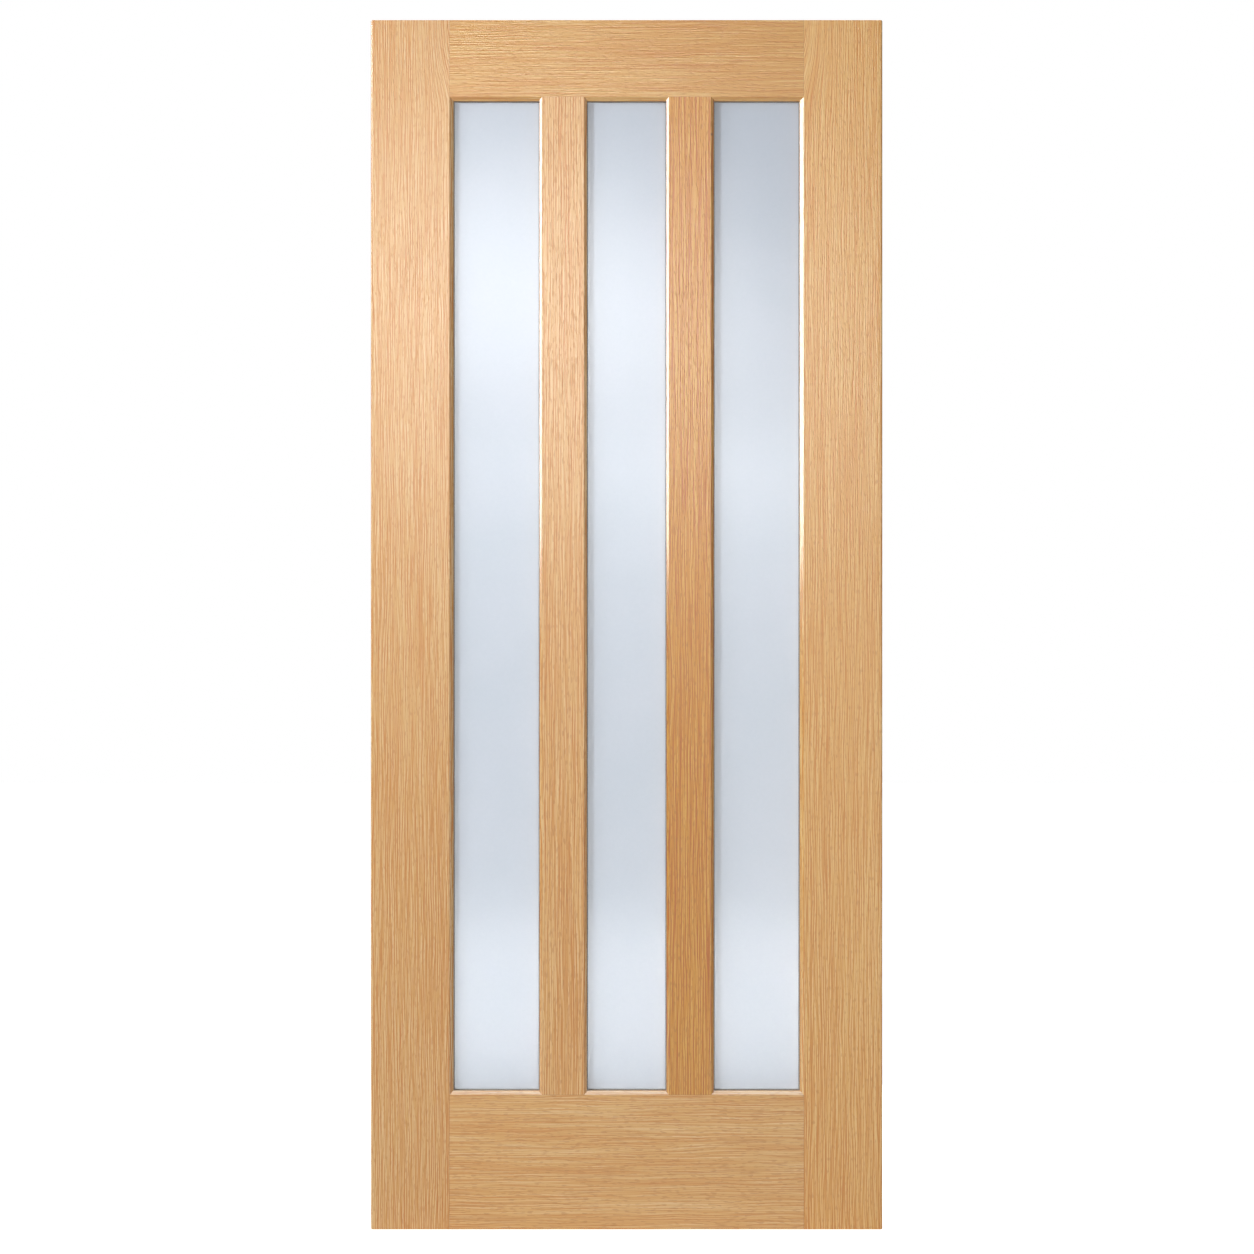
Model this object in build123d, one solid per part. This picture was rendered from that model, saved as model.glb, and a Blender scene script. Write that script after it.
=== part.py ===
from build123d import *
import os

# Glazed interior door leaf: two stiles, two rails and two mullions around three tall frosted lights.
# X runs across the leaf from the hinge edge, Z is up and the front face looks along -Y.
# The origin is on the hinge edge, at mid thickness, level with the foot of the leaf.

# Overall leaf
leaf_width = 838.0
leaf_height = 1981.0
leaf_thickness = 35.0

# Flat face of each framing member, up to the arris of its bevel
stile_face = 129.2
top_rail_face = 126.0
bottom_rail_face = 221.0
mullion_face = 69.5
mullion_spacing = 208.0  # between the centre lines of the two mullions

# Bevelled sticking that frames every light, on the members in front and on the beads behind
bevel_width = 6.0
mullion_bevel_width = 4.0
bevel_pitch = 0.75  # depth of a bevel for each millimetre of its width
arris_break = 0.6  # sanded corner between a face and its bevel
bead_flat = 5.0  # flat back of a bead, between the rebate and the bevel

# Solid oak strip on the outer edge of each stile
lipping_thickness = 8.0
edge_radius = 2.0

# Glazing
glass_thickness = 4.0
tape_thickness = 1.0
tape_reach = 1.5  # width of tape that shows past the lip
glass_edge_gap = 2.0  # room around each pane in its rebate

# Depths, measured from a face of the leaf
half_thickness = leaf_thickness / 2
half_glass = glass_thickness / 2
lip_depth = half_thickness - half_glass - tape_thickness

# Rebate floors: the glass and the beads stand in a rebate this wide, behind the front lip
rebate_cover = bead_flat + bevel_width
stile_floor = stile_face + bevel_width - rebate_cover
top_floor = leaf_height - (top_rail_face + bevel_width - rebate_cover)
bottom_floor = bottom_rail_face + bevel_width - rebate_cover
mullion_floor = mullion_face / 2 + mullion_bevel_width - rebate_cover  # from its centre line

# Lines that the pieces are set out from
middle_x = leaf_width / 2
mullion_lines = {"left": middle_x - mullion_spacing / 2, "right": middle_x + mullion_spacing / 2}
light_height = top_floor - bottom_floor
light_middle_z = (top_floor + bottom_floor) / 2
light_spans = {
    "left": (stile_floor, mullion_lines["left"] - mullion_floor),
    "middle": (mullion_lines["left"] + mullion_floor, mullion_lines["right"] - mullion_floor),
    "right": (mullion_lines["right"] + mullion_floor, leaf_width - stile_floor),
}


def moulded_edge(face, bevel):
    # Section of a moulded edge from the front face round to the back: bevel, lip and rebate
    sight_line = face + bevel
    floor_line = sight_line - rebate_cover
    return [
        (face - arris_break, -half_thickness),
        (face, -half_thickness + arris_break * bevel_pitch),
        (sight_line, -half_thickness + bevel * bevel_pitch),
        (sight_line, -half_thickness + lip_depth),
        (floor_line, -half_thickness + lip_depth),
        (floor_line, half_thickness),
    ]


def section(points):
    return make_face(Polyline(*points, close=True))


def outer_member_section(face):
    # A stile or rail: square outer edge on the line of the leaf, moulded edge towards the lights
    outer_edge = [(0, half_thickness), (0, -half_thickness)]
    return section(moulded_edge(face, bevel_width) + outer_edge)


def mullion_section():
    # A mullion is moulded on both edges, about its own centre line
    one_side = moulded_edge(mullion_face / 2, mullion_bevel_width)
    other_side = [(-across, depth) for across, depth in reversed(one_side)]
    return section(one_side + other_side)


def stile_and_lipping():
    # The lipping is glued along the outer edge, and its two outer arrises are rounded
    outline = outer_member_section(stile_face)
    outline = fillet(outline.vertices().group_by(Axis.X)[0], edge_radius)
    strip = Pos(lipping_thickness / 2, 0) * Rectangle(lipping_thickness, leaf_thickness)
    return extrude(outline - strip, leaf_height), extrude(outline & strip, leaf_height)


def across_leaf(solid):
    # The matching piece on the lock side
    return Pos(leaf_width, 0, 0) * mirror(solid, about=Plane.YZ)


def rail(face, outer_edge_z, inward, stiles):
    # Run across the leaf to the stiles' rebate floors, then coped over their sticking
    across = Plane(origin=(middle_x, 0, outer_edge_z), x_dir=(0, 0, inward), z_dir=(-inward, 0, 0))
    blank = extrude(across * outer_member_section(face), middle_x - stile_floor, both=True)
    for stile in stiles:
        blank = blank - stile
    return blank


def mullion(centre_x, rails):
    # Stood between the rails' rebate floors, then coped over their sticking
    blank = extrude(Pos(centre_x, 0, bottom_floor) * mullion_section(), light_height)
    for crossing_rail in rails:
        blank = blank - crossing_rail
    return blank


def glass_pane(left_x, right_x):
    width = right_x - left_x - 2 * glass_edge_gap
    height = light_height - 2 * glass_edge_gap
    return Pos((left_x + right_x) / 2, 0, light_middle_z) * Box(width, glass_thickness, height)


def glazing_tape(left_x, right_x, side):
    # A flat frame of tape as large as the pane, showing a little past the lip; side is -1 in front
    outer_inset = glass_edge_gap
    inner_inset = rebate_cover + tape_reach
    span = right_x - left_x
    frame = Box(span - 2 * outer_inset, tape_thickness, light_height - 2 * outer_inset)
    frame -= Box(span - 2 * inner_inset, tape_thickness, light_height - 2 * inner_inset)
    middle_y = side * (half_glass + tape_thickness / 2)
    return Pos((left_x + right_x) / 2, middle_y, light_middle_z) * frame


def mitred_bead(length):
    # A bead along X, its foot on the rebate floor at Z 0, with both ends mitred
    bar_section = section([
        (0, half_thickness),
        (0, half_thickness - lip_depth),
        (rebate_cover, half_thickness - lip_depth),
        (rebate_cover, half_thickness - bevel_width * bevel_pitch),
        (bead_flat, half_thickness - arris_break * bevel_pitch),
        (bead_flat - arris_break, half_thickness),
    ])
    along_x = Plane(origin=(0, 0, 0), x_dir=(0, 0, 1), z_dir=(-1, 0, 0))
    bar = extrude(along_x * bar_section, length / 2, both=True)
    mitres = section([
        (-length / 2, 0),
        (length / 2, 0),
        (length / 2 - rebate_cover, rebate_cover),
        (-length / 2 + rebate_cover, rebate_cover),
    ])
    return bar & extrude(Plane.XZ * mitres, leaf_thickness, both=True)


def light_beads(left_x, right_x):
    # Four beads hold each pane from behind, each turned so that its foot is on its own rebate floor
    centre_x = (left_x + right_x) / 2
    level_bead = mitred_bead(right_x - left_x)
    upright_bead = mitred_bead(light_height)
    return {
        "bottom": Pos(centre_x, 0, bottom_floor) * level_bead,
        "top": Pos(centre_x, 0, top_floor) * Rot(0, 180, 0) * level_bead,
        "left": Pos(left_x, 0, light_middle_z) * Rot(0, 90, 0) * upright_bead,
        "right": Pos(right_x, 0, light_middle_z) * Rot(0, -90, 0) * upright_bead,
    }


def door_leaf():
    left_stile, left_lipping = stile_and_lipping()
    nodes = {
        "left_stile": left_stile,
        "right_stile": across_leaf(left_stile),
        "left_edge_lipping": left_lipping,
        "right_edge_lipping": across_leaf(left_lipping),
    }
    stiles = [nodes["left_stile"], nodes["right_stile"]]
    nodes["top_rail"] = rail(top_rail_face, leaf_height, -1, stiles)
    nodes["bottom_rail"] = rail(bottom_rail_face, 0, 1, stiles)
    rails = [nodes["top_rail"], nodes["bottom_rail"]]
    for side, centre_x in mullion_lines.items():
        nodes[f"{side}_mullion"] = mullion(centre_x, rails)
    for light, (left_x, right_x) in light_spans.items():
        nodes[f"{light}_glass"] = glass_pane(left_x, right_x)
        nodes[f"{light}_front_tape"] = glazing_tape(left_x, right_x, -1)
        nodes[f"{light}_back_tape"] = glazing_tape(left_x, right_x, 1)
        for edge, bead in light_beads(left_x, right_x).items():
            nodes[f"{light}_light_{edge}_bead"] = bead
    return nodes


os.makedirs("parts", exist_ok=True)
for name, solid in door_leaf().items():
    export_step(solid, f"parts/{name}.step")
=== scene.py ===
import math
import bpy
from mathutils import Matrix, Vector


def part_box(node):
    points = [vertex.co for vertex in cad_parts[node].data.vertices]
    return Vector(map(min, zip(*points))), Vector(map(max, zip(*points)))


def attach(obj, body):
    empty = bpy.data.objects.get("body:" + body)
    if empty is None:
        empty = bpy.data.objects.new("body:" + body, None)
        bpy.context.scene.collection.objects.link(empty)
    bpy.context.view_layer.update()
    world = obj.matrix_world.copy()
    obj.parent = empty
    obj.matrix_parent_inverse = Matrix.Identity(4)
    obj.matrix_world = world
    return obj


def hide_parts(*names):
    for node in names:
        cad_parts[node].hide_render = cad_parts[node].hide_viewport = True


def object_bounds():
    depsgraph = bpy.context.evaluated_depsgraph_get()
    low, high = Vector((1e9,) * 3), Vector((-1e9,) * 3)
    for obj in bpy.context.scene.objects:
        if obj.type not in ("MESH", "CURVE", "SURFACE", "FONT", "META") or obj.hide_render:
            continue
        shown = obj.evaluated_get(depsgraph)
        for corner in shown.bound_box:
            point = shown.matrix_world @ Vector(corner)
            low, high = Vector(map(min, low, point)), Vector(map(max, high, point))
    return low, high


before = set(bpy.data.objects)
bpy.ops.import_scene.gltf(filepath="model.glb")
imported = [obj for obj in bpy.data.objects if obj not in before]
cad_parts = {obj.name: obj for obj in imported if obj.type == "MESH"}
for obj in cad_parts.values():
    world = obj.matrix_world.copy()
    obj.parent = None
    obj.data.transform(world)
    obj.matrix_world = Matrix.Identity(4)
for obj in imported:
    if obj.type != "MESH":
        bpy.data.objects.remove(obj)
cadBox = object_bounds()
leafLow, leafHigh = cadBox
faceMiddle = Vector(((leafLow.x + leafHigh.x) / 2, leafLow.y, (leafLow.z + leafHigh.z) / 2))
print("frame loaded:", len(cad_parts), "nodes")


def toLinear(hexColour):
    # sRGB hex to the linear values that Blender's sockets take
    channels = [int(hexColour[i:i + 2], 16) / 255 for i in (1, 3, 5)]
    linear = [c / 12.92 if c <= 0.04045 else ((c + 0.055) / 1.055) ** 2.4 for c in channels]
    return (*linear, 1.0)


def addNode(tree, kind, settings=None, links=None):
    # settings are the node's own values or its sockets, links join sockets to earlier outputs
    node = tree.nodes.new(kind)
    for name, value in (settings or {}).items():
        if name == "stops":
            while len(node.color_ramp.elements) < len(value):
                node.color_ramp.elements.new(1.0)
            for element, (position, colour) in zip(node.color_ramp.elements, value):
                element.position = position
                element.color = toLinear(colour)
        elif isinstance(name, str) and hasattr(node, name):
            setattr(node, name, value)
        else:
            node.inputs[name].default_value = value
    for name, socket in (links or {}).items():
        tree.links.new(socket, node.inputs[name])
    return node


def newMaterial(name):
    material = bpy.data.materials.new(name)
    material.use_nodes = True
    tree = material.node_tree
    return material, tree, tree.nodes["Principled BSDF"]


def dress(nodeNames, material):
    for name in nodeNames:
        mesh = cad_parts[name].data
        mesh.materials.clear()
        mesh.materials.append(material)


def millimetreCells(across, depth, along):
    # Mapping scale for a noise whose cells measure this many millimetres
    return (1000 / across, 1000 / depth, 1000 / along)


# Oak veneer, straight in the grain, sanded and lacquered matt: fine cream and tan streaks follow the grain,
# faint brown growth lines and short open pores lie between them, and the lacquer gives a soft sheen.
# The bevels are cut by a moulding tool and polish up smoother than the sanded faces.
oakFinish = {
    "roughness": 0.315,
    "bevelRoughness": 0.14,
    "bevelTilt": 0.83,                 # how far a bevel's normal still faces the front or the back
    "bevelTolerance": 0.1,
    "specular": 0.76,
    "warpCell": (30.0, 60.0, 105.0),   # mm across, through and along the grain
    "fibreContrast": 0.7,
    "poreRange": (0.57, 0.73),         # noise values where a pore begins and where it is fully open
    "poreDulling": 0.2,                # roughness that an open pore adds
    "ringStretch": 14,                 # how many spacings long a growth line runs
    "jointWidth": 0.0011,              # a hairline in life, drawn this wide so that it shows
    # the joint line is painted dark: partly the seam between the boards, partly painted shade in the joint
    "jointSeamShadeColour": "#7A4E22",
    "reliefDepth": 0.0002,
    "bevelRelief": 0.15,               # share of the relief that is left on a bevel
}
# Cells in mm across, through and along the grain; fibres and pores are finer in life, drawn coarser to show
oakLayers = {
    "streak": {"cell": (3.0, 7.0, 200.0), "detail": 1.0},
    "fibre": {"cell": (1.8, 3.5, 70.0), "detail": 0.0},
    "nextFibre": {"cell": (1.8, 3.5, 70.0), "detail": 0.0, "aside": 0.8},
    "pore": {"cell": (1.7, 2.6, 10.0), "detail": 0.0},
    "tone": {"cell": (26.0, 46.0, 480.0), "detail": 2.0},
}
noiseMiddle = 0.5                      # a noise texture varies about this value


def grainPlace(tree, board, place, axes):
    # turns a point's place into one that runs across, through and along the grain
    quarterTurn = math.pi / 2 if board["grain"] == "level" else 0
    turned = addNode(tree, "ShaderNodeMapping", {
        "Rotation": (0, quarterTurn, 0), "Location": board["shift"]}, {"Vector": place})
    # the grain wanders a little across the board
    warpPlace = addNode(tree, "ShaderNodeMapping", {"Scale": millimetreCells(*oakFinish["warpCell"])},
                        {"Vector": turned.outputs[0]})
    warp = addNode(tree, "ShaderNodeTexNoise", {"Scale": 1.0, "Detail": 2.0, "Roughness": 0.45},
                   {"Vector": warpPlace.outputs[0]})
    wander = addNode(tree, "ShaderNodeMapRange", {
        "To Min": -board["wander"] / 1000, "To Max": board["wander"] / 1000}, {"Value": warp.outputs["Fac"]})
    offset = wander.outputs[0]
    if "lean" in board:
        # and leans into the top rail near the inner edge
        lean = board["lean"]
        nearEdge = addNode(tree, "ShaderNodeMapRange", {
            "interpolation_type": "SMOOTHSTEP", "From Min": lean["startX"], "From Max": lean["edgeX"]},
            {"Value": axes["X"]})
        nearTop = addNode(tree, "ShaderNodeMapRange", {
            "interpolation_type": "SMOOTHSTEP", "From Min": lean["footZ"], "From Max": lean["topZ"],
            "To Max": lean["reach"] / 1000}, {"Value": axes["Z"]})
        offset = addNode(tree, "ShaderNodeMath", {"operation": "MULTIPLY_ADD"}, {
            0: nearEdge.outputs[0], 1: nearTop.outputs[0], 2: offset}).outputs[0]
    sideways = addNode(tree, "ShaderNodeCombineXYZ", links={"X": offset})
    return addNode(tree, "ShaderNodeVectorMath", {"operation": "ADD"}, {
        0: turned.outputs[0], 1: sideways.outputs[0]}).outputs[0]


def grainLayers(tree, board, grain):
    layers = {}
    for layer, pattern in oakLayers.items():
        cells = [cell * board.get("coarse", 1.0) for cell in pattern["cell"]]
        spread = addNode(tree, "ShaderNodeMapping", {
            "Scale": millimetreCells(*cells), "Location": (pattern.get("aside", 0.0), 0, 0)},
            {"Vector": grain})
        layers[layer] = addNode(tree, "ShaderNodeTexNoise", {
            "Scale": 1.0, "Detail": pattern["detail"], "Roughness": 0.5},
            {"Vector": spread.outputs[0]}).outputs["Fac"]
    # a fibre shows only against the next one, so the fibres form lines and no broad patches
    against = addNode(tree, "ShaderNodeMath", {"operation": "SUBTRACT"}, {
        0: layers["fibre"], 1: layers["nextFibre"]})
    layers["fibre"] = addNode(tree, "ShaderNodeMath", {
        "operation": "MULTIPLY_ADD", 1: oakFinish["fibreContrast"], 2: noiseMiddle},
        {0: against.outputs[0]}).outputs[0]
    return layers


def growthLines(tree, board, grain):
    # thin brown lines run where a slow noise crosses its middle value
    spacing = board["ringSpacing"]
    ringCells = millimetreCells(spacing, spacing, spacing * oakFinish["ringStretch"])
    ringPlace = addNode(tree, "ShaderNodeMapping", {"Scale": ringCells}, {"Vector": grain})
    ringNoise = addNode(tree, "ShaderNodeTexNoise", {"Scale": 1.0, "Detail": 1.0, "Roughness": 0.4},
                        {"Vector": ringPlace.outputs[0]})
    fromLine = addNode(tree, "ShaderNodeMath", {"operation": "SUBTRACT", 1: noiseMiddle},
                       {0: ringNoise.outputs["Fac"]})
    nearness = addNode(tree, "ShaderNodeMath", {"operation": "ABSOLUTE"}, {0: fromLine.outputs[0]})
    return addNode(tree, "ShaderNodeMapRange", {
        "interpolation_type": "SMOOTHSTEP", "From Max": board["ringWidth"],
        "To Min": board["rings"], "To Max": 0.0}, {"Value": nearness.outputs[0]}).outputs[0]


def jointSeamAndShade(tree, board, axes):
    # a dark line where this board meets its neighbours at both ends: partly the seam itself, partly painted
    # shade in the joint
    first, last = board["joints"]
    halfLength = (last - first) / 2
    along = axes["X" if board["grain"] == "level" else "Z"]
    fromMiddle = addNode(tree, "ShaderNodeMath", {"operation": "SUBTRACT", 1: (first + last) / 2}, {0: along})
    outwards = addNode(tree, "ShaderNodeMath", {"operation": "ABSOLUTE"}, {0: fromMiddle.outputs[0]})
    return addNode(tree, "ShaderNodeMapRange", {
        "interpolation_type": "SMOOTHSTEP", "From Min": halfLength - oakFinish["jointWidth"],
        "From Max": halfLength, "To Max": board["jointStrength"]}, {"Value": outwards.outputs[0]}).outputs[0]


def pinKnot(tree, knot, place):
    away = addNode(tree, "ShaderNodeVectorMath", {"operation": "DISTANCE", 1: knot["place"]}, {0: place})
    return addNode(tree, "ShaderNodeMapRange", {
        "interpolation_type": "SMOOTHSTEP", "From Max": knot["radius"], "To Min": knot["strength"],
        "To Max": 0.0}, {"Value": away.outputs["Value"]}).outputs[0]


def sandAndLacquer(tree, shader, fibre, pore):
    normal = addNode(tree, "ShaderNodeNewGeometry").outputs["True Normal"]
    facing = addNode(tree, "ShaderNodeSeparateXYZ", links={"Vector": normal})
    frontOrBack = addNode(tree, "ShaderNodeMath", {"operation": "ABSOLUTE"}, {0: facing.outputs["Y"]})
    onBevel = addNode(tree, "ShaderNodeMath", {
        "operation": "COMPARE", 1: oakFinish["bevelTilt"], 2: oakFinish["bevelTolerance"]},
        {0: frontOrBack.outputs[0]}).outputs[0]
    # relief: fibres stand a little proud, pores are open
    height = addNode(tree, "ShaderNodeMath", {"operation": "SUBTRACT"}, {0: fibre, 1: pore})
    depth = addNode(tree, "ShaderNodeMapRange", {"To Min": 1.0, "To Max": oakFinish["bevelRelief"]},
                    {"Value": onBevel})
    relief = addNode(tree, "ShaderNodeBump", {"Distance": oakFinish["reliefDepth"]},
                     {"Height": height.outputs[0], "Strength": depth.outputs[0]})
    tree.links.new(relief.outputs[0], shader.inputs["Normal"])
    # the lacquer is smoother on the bevels and duller in the pores
    gloss = addNode(tree, "ShaderNodeMapRange", {
        "To Min": oakFinish["roughness"], "To Max": oakFinish["bevelRoughness"]}, {"Value": onBevel})
    openPore = addNode(tree, "ShaderNodeMath", {"operation": "MULTIPLY"}, {0: pore, 1: depth.outputs[0]})
    dulled = addNode(tree, "ShaderNodeMath", {"operation": "MULTIPLY_ADD", 1: oakFinish["poreDulling"]},
                     {0: openPore.outputs[0], 2: gloss.outputs[0]})
    tree.links.new(dulled.outputs[0], shader.inputs["Roughness"])
    shader.inputs["Specular IOR Level"].default_value = oakFinish["specular"]


def oakBoard(name, board):
    material, tree, shader = newMaterial(name)
    place = addNode(tree, "ShaderNodeTexCoord").outputs["Object"]
    axes = addNode(tree, "ShaderNodeSeparateXYZ", links={"Vector": place}).outputs
    grain = grainPlace(tree, board, place, axes)
    layers = grainLayers(tree, board, grain)
    # streaks, fibres and slow tone add up to one value between dark and pale wood
    shares = {"streak": board["streaks"], "fibre": board["fibres"], "tone": board["tones"]}
    centred = noiseMiddle - noiseMiddle * sum(shares.values())
    total = None
    for layer, share in shares.items():
        summed = addNode(tree, "ShaderNodeMath", {"operation": "MULTIPLY_ADD", 1: share, 2: centred},
                         {0: layers[layer]})
        if total:
            tree.links.new(total, summed.inputs[2])
        total = summed.outputs[0]
    wood = addNode(tree, "ShaderNodeValToRGB", {"stops": board["colours"]}, {"Fac": total}).outputs["Color"]
    poreStart, poreOpen = oakFinish["poreRange"]
    pore = addNode(tree, "ShaderNodeMapRange", {
        "interpolation_type": "SMOOTHSTEP", "From Min": poreStart, "From Max": poreOpen,
        "To Max": board["pores"]}, {"Value": layers["pore"]}).outputs[0]
    marks = [(growthLines(tree, board, grain), board["ringColour"]), (pore, board["ringColour"])]
    if "joints" in board:
        # painted shade at the joints, laid over the seam line
        marks.append((jointSeamAndShade(tree, board, axes), oakFinish["jointSeamShadeColour"]))
    if "knot" in board:
        marks.append((pinKnot(tree, board["knot"], place), board["knot"]["colour"]))
    for share, colour in marks:
        wood = addNode(tree, "ShaderNodeMix", {"data_type": "RGBA", 7: toLinear(colour)},
                       {0: share, 6: wood}).outputs[2]
    tree.links.new(wood, shader.inputs["Base Color"])
    sandAndLacquer(tree, shader, layers["fibre"], pore)
    return material


leftStileOak = {
    "grain": "upright", "shift": (0.0, 0.0, 0.0), "wander": 3.0,
    "streaks": 0.5, "fibres": 1.2, "tones": 0.2,
    "colours": [(0.28, "#B4732D"), (0.5, "#C09150"), (0.72, "#CDAB79")],
    "rings": 0.08, "ringSpacing": 24.0, "ringWidth": 0.02, "ringColour": "#A86E2A", "pores": 0.45,
    "lean": {"startX": 0.07, "edgeX": 0.129, "footZ": 1.82, "topZ": 1.981, "reach": 26.0},
}
rightStileOak = {
    "grain": "upright", "shift": (3.1, 0.4, 1.7), "wander": 3.0,
    "streaks": 0.5, "fibres": 1.2, "tones": 0.2,
    "colours": [(0.28, "#BB7828"), (0.5, "#C9964B"), (0.72, "#D6B072")],
    "rings": 0.08, "ringSpacing": 24.0, "ringWidth": 0.02, "ringColour": "#A86E2A", "pores": 0.45,
    "lean": {"startX": 0.768, "edgeX": 0.709, "footZ": 1.82, "topZ": 1.981, "reach": -26.0},
}
topRailOak = {
    "grain": "level", "shift": (5.3, 0.2, 2.2), "wander": 4.0,
    "streaks": 0.8, "fibres": 0.6, "tones": 0.35,
    "colours": [(0.28, "#AE6F1E"), (0.5, "#BB883B"), (0.72, "#C8A261")],
    "rings": 0.25, "ringSpacing": 20.0, "ringWidth": 0.02, "ringColour": "#A2682A", "pores": 0.42,
    "joints": (0.1286, 0.7094), "jointStrength": 0.6,
}
bottomRailOak = {
    "grain": "level", "shift": (7.7, 0.9, 4.4), "wander": 4.0,
    "streaks": 0.6, "fibres": 0.55, "tones": 0.35,
    "colours": [(0.28, "#B87B37"), (0.5, "#C69959"), (0.72, "#D3B282")],
    "rings": 0.25, "ringSpacing": 20.0, "ringWidth": 0.02, "ringColour": "#A26C32", "pores": 0.42,
    "joints": (0.1286, 0.7094), "jointStrength": 0.5,
}
leftMullionOak = {
    "grain": "upright", "shift": (9.2, 0.6, 0.8), "wander": 2.8, "coarse": 1.05,
    "streaks": 0.5, "fibres": 0.95, "tones": 0.2,
    "colours": [(0.28, "#B5732B"), (0.5, "#C2914F"), (0.72, "#D1AD79")],
    "rings": 0.1, "ringSpacing": 22.0, "ringWidth": 0.02, "ringColour": "#A2682A", "pores": 0.45,
    "joints": (0.2204, 1.8556), "jointStrength": 0.5,
}
rightMullionOak = {
    "grain": "upright", "shift": (12.4, 0.1, 3.5), "wander": 2.8, "coarse": 1.05,
    "streaks": 0.5, "fibres": 1.2, "tones": 0.2,
    "colours": [(0.28, "#A65A00"), (0.5, "#B87C18"), (0.72, "#C69744")],
    "rings": 0.1, "ringSpacing": 22.0, "ringWidth": 0.02, "ringColour": "#905612", "pores": 0.45,
    "joints": (0.2204, 1.8556), "jointStrength": 0.5,
    "knot": {"place": (0.559, -0.0175, 1.794), "radius": 0.0042, "strength": 0.85, "colour": "#5E3A18"},
}
leafOak = {
    "left_stile": oakBoard("oakVeneerLeftStile", leftStileOak),
    "right_stile": oakBoard("oakVeneerRightStile", rightStileOak),
    "top_rail": oakBoard("oakVeneerTopRail", topRailOak),
    "bottom_rail": oakBoard("oakVeneerBottomRail", bottomRailOak),
    "left_mullion": oakBoard("oakVeneerLeftMullion", leftMullionOak),
    "right_mullion": oakBoard("oakVeneerRightMullion", rightMullionOak),
}
for nodeName, oakMaterial in leafOak.items():
    dress([nodeName], oakMaterial)
print("oak frame dressed")

# Solid oak strip on each long edge, its outer arrises and its two ends eased by sanding
lipping = {"easing": 0.0026, "steps": 5, "smoothAngle": 35, "tolerance": 1e-5}


def lippingStrip(name, nodeName, outward, material):
    low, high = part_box(nodeName)
    bpy.ops.object.select_all(action="DESELECT")
    bpy.ops.mesh.primitive_cube_add(size=1, location=(low + high) / 2)
    strip = bpy.context.object
    strip.name = name
    strip.scale = high - low
    bpy.ops.object.transform_apply(location=True, rotation=True, scale=True)
    outerX = low.x if outward < 0 else high.x
    bpy.ops.object.mode_set(mode="EDIT")
    bpy.ops.mesh.select_all(action="DESELECT")
    bpy.ops.object.mode_set(mode="OBJECT")
    corners = strip.data.vertices
    for edge in strip.data.edges:
        edge.select = all(abs(corners[v].co.x - outerX) < lipping["tolerance"] for v in edge.vertices)
    bpy.ops.object.mode_set(mode="EDIT")
    bpy.ops.mesh.select_mode(type="EDGE")
    bpy.ops.mesh.bevel(offset=lipping["easing"], segments=lipping["steps"], affect="EDGES")
    bpy.ops.object.mode_set(mode="OBJECT")
    bpy.ops.object.shade_smooth_by_angle(angle=math.radians(lipping["smoothAngle"]))
    strip.data.materials.append(material)
    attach(strip, "root")
    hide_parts(nodeName)


lippingStrip("leftLippingStrip", "left_edge_lipping", -1, leafOak["left_stile"])
lippingStrip("rightLippingStrip", "right_edge_lipping", 1, leafOak["right_stile"])
print("lippings shaped")

# Solid oak beads on the back, cut from plainer narrow strips
uprightBeadOak = {
    "grain": "upright", "shift": (15.6, 0.3, 6.1), "wander": 2.0, "coarse": 0.8,
    "streaks": 0.4, "fibres": 0.8, "tones": 0.3,
    "colours": [(0.28, "#AF7536"), (0.5, "#C48E4B"), (0.72, "#D7AD6B")],
    "rings": 0.25, "ringSpacing": 18.0, "ringWidth": 0.03, "ringColour": "#9D6228", "pores": 0.5,
}
levelBeadOak = {**uprightBeadOak, "grain": "level", "shift": (18.3, 0.8, 7.4)}
uprightBead = oakBoard("oakSolidUprightBead", uprightBeadOak)
levelBead = oakBoard("oakSolidLevelBead", levelBeadOak)
for lightName in ("left", "middle", "right"):
    dress([f"{lightName}_light_{edge}_bead" for edge in ("left", "right")], uprightBead)
    dress([f"{lightName}_light_{edge}_bead" for edge in ("top", "bottom")], levelBead)
print("beads dressed")

# Float glass, acid etched on both faces: a milky blue-white that scatters light, with a satin sheen,
# a very fine etched grain and faint clouds where the acid bit a little more
frostedPane = {
    "colours": [(0.2, "#B8C2CF"), (0.8, "#BEC6D3")],
    "roughness": (0.21, 0.24), "ior": 1.5, "specular": 0.6, "transmission": 0.25,
    "etchCell": 4.0,                   # mm, far finer in life, drawn this coarse so that it shows
    "cloudCell": 120.0,
    "cloudShare": 0.7,
}


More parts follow.
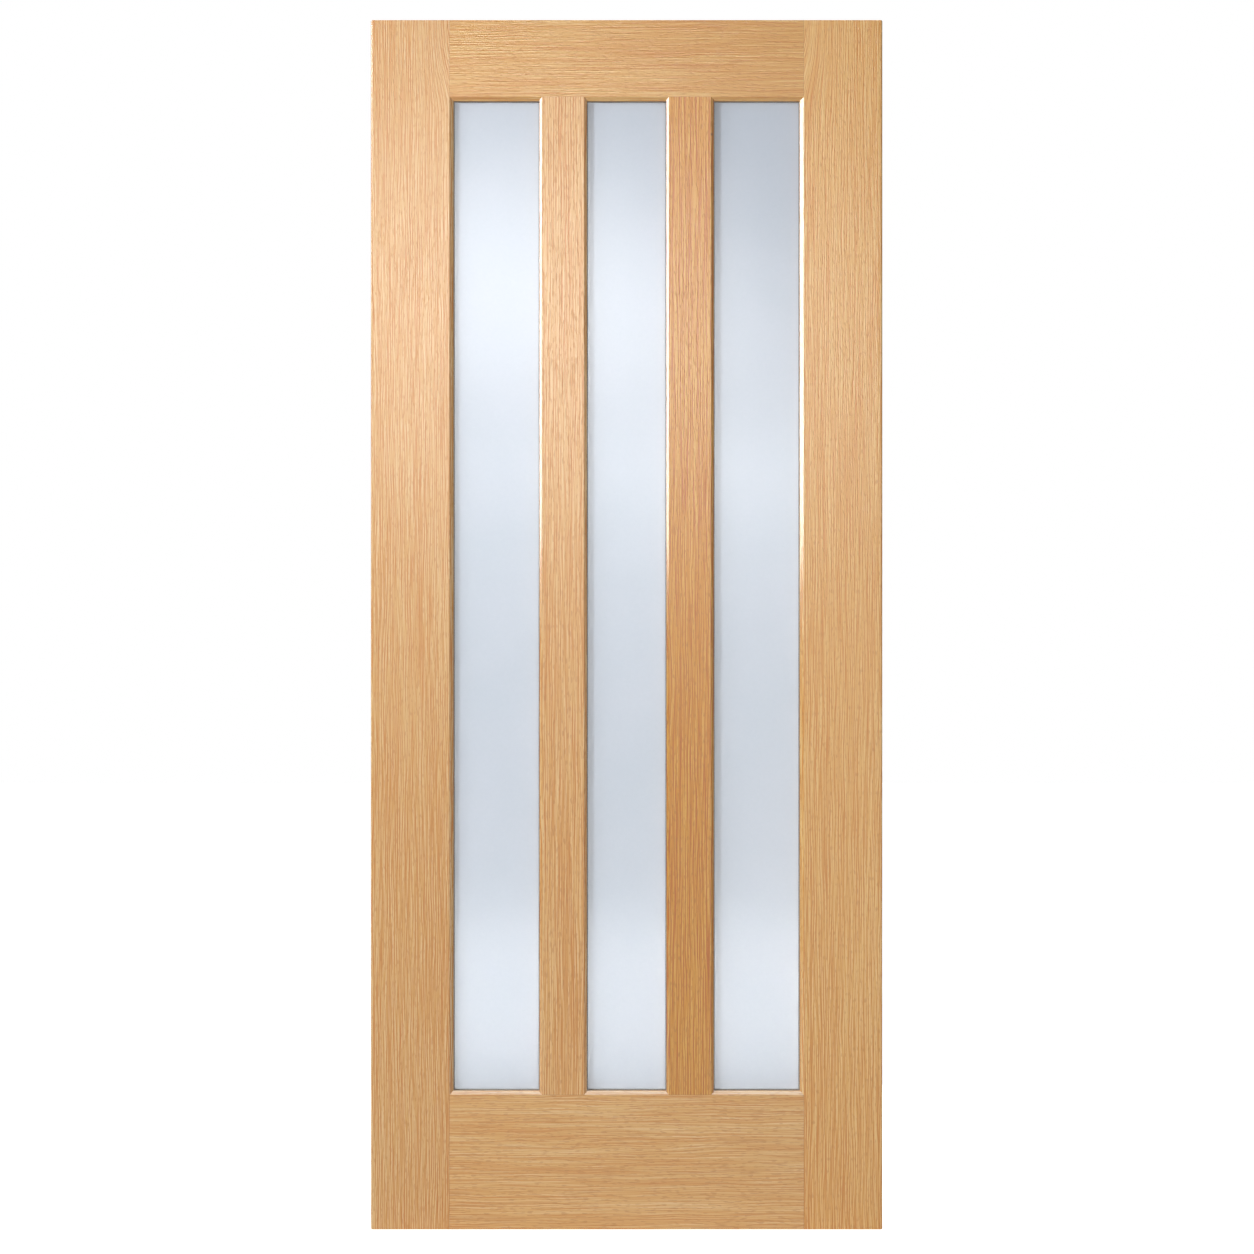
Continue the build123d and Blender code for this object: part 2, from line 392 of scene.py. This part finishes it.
def frostedGlass():
    material, tree, shader = newMaterial("acidEtchedGlass")
    place = addNode(tree, "ShaderNodeTexCoord").outputs["Object"]
    etch = addNode(tree, "ShaderNodeTexNoise", {"Scale": 1000 / frostedPane["etchCell"], "Detail": 0.0},
                   {"Vector": place}).outputs["Fac"]
    cloud = addNode(tree, "ShaderNodeTexNoise", {"Scale": 1000 / frostedPane["cloudCell"], "Detail": 1.0},
                    {"Vector": place}).outputs["Fac"]
    milk = addNode(tree, "ShaderNodeMix", {"data_type": "FLOAT", 0: frostedPane["cloudShare"]},
                   {2: etch, 3: cloud}).outputs[0]
    tint = addNode(tree, "ShaderNodeValToRGB", {"stops": frostedPane["colours"]}, {"Fac": milk})
    tree.links.new(tint.outputs["Color"], shader.inputs["Base Color"])
    smooth, rough = frostedPane["roughness"]
    satin = addNode(tree, "ShaderNodeMapRange", {"To Min": smooth, "To Max": rough}, {"Value": milk})
    tree.links.new(satin.outputs[0], shader.inputs["Roughness"])
    shader.inputs["IOR"].default_value = frostedPane["ior"]
    shader.inputs["Specular IOR Level"].default_value = frostedPane["specular"]
    shader.inputs["Transmission Weight"].default_value = frostedPane["transmission"]
    return material


etchedGlass = frostedGlass()
dress(["left_glass", "middle_glass", "right_glass"], etchedGlass)
print("glass dressed")

# Closed-cell foam tape: matt mid grey, pitted by its bubbles
foamTape = {"colours": [(0.35, "#787876"), (0.65, "#969694")], "roughness": 0.9, "cell": 0.9, "depth": 0.0001}


def glazingTape():
    material, tree, shader = newMaterial("foamTapeGrey")
    place = addNode(tree, "ShaderNodeTexCoord").outputs["Object"]
    bubbles = addNode(tree, "ShaderNodeTexNoise", {"Scale": 1000 / foamTape["cell"], "Detail": 1.0},
                      {"Vector": place}).outputs["Fac"]
    tint = addNode(tree, "ShaderNodeValToRGB", {"stops": foamTape["colours"]}, {"Fac": bubbles})
    tree.links.new(tint.outputs["Color"], shader.inputs["Base Color"])
    relief = addNode(tree, "ShaderNodeBump", {"Distance": foamTape["depth"]}, {"Height": bubbles})
    tree.links.new(relief.outputs[0], shader.inputs["Normal"])
    shader.inputs["Roughness"].default_value = foamTape["roughness"]
    return material


greyTape = glazingTape()
for lightName in ("left", "middle", "right"):
    dress([f"{lightName}_front_tape", f"{lightName}_back_tape"], greyTape)
print("tape dressed")

# Studio: pale floor, white background and soft lamps; places are in metres from the middle of the leaf
studio = {
    "floorSize": 40.0,
    "floorColour": "#F2F2F2",
    "floorRoughness": 0.9,
    "floorGlow": 0.93,
    "ambient": 0.03,
}
# With fill False a lamp shows only in the sheen, with sheen False it only lights, and through lets it shine
# through the glass from behind. The two strips draw the light lines on the bevels that face left and up.
softboxes = {
    "keySoftbox": {"place": (-2.9, -3.1, 1.7), "size": (0.8, 0.8), "power": 118.0},
    "frontFill": {"place": (1.7, -5.0, 0.0), "size": (2.5, 2.5), "power": 42.0, "sheen": False},
    "lowFill": {"place": (1.2, -3.2, -0.8), "aim": (0.3, 0, -0.6), "size": (1.6, 1.6), "power": 11.0,
                "colour": "#FFEED2"},
    "upperSheen": {"place": (-0.42, -3.0, 0.8), "size": (1.2, 0.6), "power": 24.0, "fill": False},
    "middleSheen": {"place": (0.24, -3.0, 0.55), "size": (0.8, 0.6), "power": 9.2, "fill": False},
    "sideStrip": {"place": (-4.0, -1.86, 0.92), "size": (0.6, 1.46), "power": 50.0, "shape": "RECTANGLE"},
    "topStrip": {"place": (0, -2.83, 4.5), "size": (1.6, 0.8), "power": 20.0, "shape": "RECTANGLE"},
    "backGlow": {"place": (0, 2.2, -0.82), "aim": (0, 0, -0.82), "size": (2.4, 0.4), "power": 10.5,
                 "shape": "RECTANGLE", "spread": 100, "through": True, "colour": "#FFF8EC"},
    "backMiddle": {"place": (0, 2.2, -0.25), "aim": (0, 0, -0.25), "size": (2.4, 1.3), "power": 13.0,
                   "shape": "RECTANGLE", "spread": 90, "through": True, "colour": "#FFF8EC"},
}


def addSoftbox(name, box):
    bpy.ops.object.light_add(type="AREA", location=faceMiddle + Vector(box["place"]))
    lamp = bpy.context.object
    lamp.name = name
    lamp.data.shape = box.get("shape", "ELLIPSE")
    lamp.data.size, lamp.data.size_y = box["size"]
    lamp.data.energy = box["power"]
    lamp.data.color = toLinear(box.get("colour", "#FFFFFF"))[:3]
    lamp.data.spread = math.radians(box.get("spread", 180))
    lamp.visible_camera = False
    lamp.visible_diffuse = box.get("fill", True)
    lamp.visible_glossy = box.get("sheen", True)
    lamp.visible_transmission = box.get("through", False)
    towards = faceMiddle + Vector(box.get("aim", (0, 0, 0))) - lamp.location
    lamp.rotation_euler = towards.to_track_quat("-Z", "Y").to_euler()


bpy.ops.object.select_all(action="DESELECT")
for boxName, softbox in softboxes.items():
    addSoftbox(boxName, softbox)


def seenDirectly(tree):
    # 1 for rays that see the white studio, straight, mirrored or through glass, and 0 for the rest
    rays = addNode(tree, "ShaderNodeLightPath").outputs
    seen = addNode(tree, "ShaderNodeMath", {"operation": "MAXIMUM"}, {
        0: rays["Is Camera Ray"], 1: rays["Is Glossy Ray"]})
    return addNode(tree, "ShaderNodeMath", {"operation": "MAXIMUM"}, {
        0: seen.outputs[0], 1: rays["Is Transmission Ray"]}).outputs[0]


white = toLinear("#FFFFFF")
world = bpy.data.worlds.new("studioWorld")
bpy.context.scene.world = world
world.use_nodes = True
worldTree = world.node_tree
brightness = addNode(worldTree, "ShaderNodeMapRange", {"To Min": studio["ambient"], "To Max": 1.0},
                     {"Value": seenDirectly(worldTree)})
background = worldTree.nodes["Background"]
background.inputs["Color"].default_value = white
worldTree.links.new(brightness.outputs[0], background.inputs["Strength"])

bpy.ops.mesh.primitive_plane_add(size=studio["floorSize"], location=(faceMiddle.x, 0, leafLow.z))
floor = bpy.context.object
floor.name = "studioFloor"
floorMaterial, floorTree, floorShader = newMaterial("palePaintedFloor")
floorShader.inputs["Base Color"].default_value = toLinear(studio["floorColour"])
floorShader.inputs["Roughness"].default_value = studio["floorRoughness"]
floorShader.inputs["Emission Color"].default_value = white
floorGlow = addNode(floorTree, "ShaderNodeMath", {"operation": "MULTIPLY", 1: studio["floorGlow"]},
                    {0: seenDirectly(floorTree)})
floorTree.links.new(floorGlow.outputs[0], floorShader.inputs["Emission Strength"])
floor.data.materials.append(floorMaterial)
print("studio lit")

# Camera square on to the leaf, far back as a catalogue photo is taken
cameraSetup = {"distance": 7.0, "frameWidth": 2.054, "sensor": 36.0, "x": 0.4196, "z": 0.9869}
bpy.ops.object.camera_add(location=(cameraSetup["x"], leafLow.y - cameraSetup["distance"], cameraSetup["z"]),
                          rotation=(math.pi / 2, 0, 0))
camera = bpy.context.object
camera.data.sensor_width = cameraSetup["sensor"]
camera.data.lens = cameraSetup["sensor"] * cameraSetup["distance"] / cameraSetup["frameWidth"]
bpy.context.scene.camera = camera
bpy.context.scene.view_settings.view_transform = "Standard"

print("camera set")
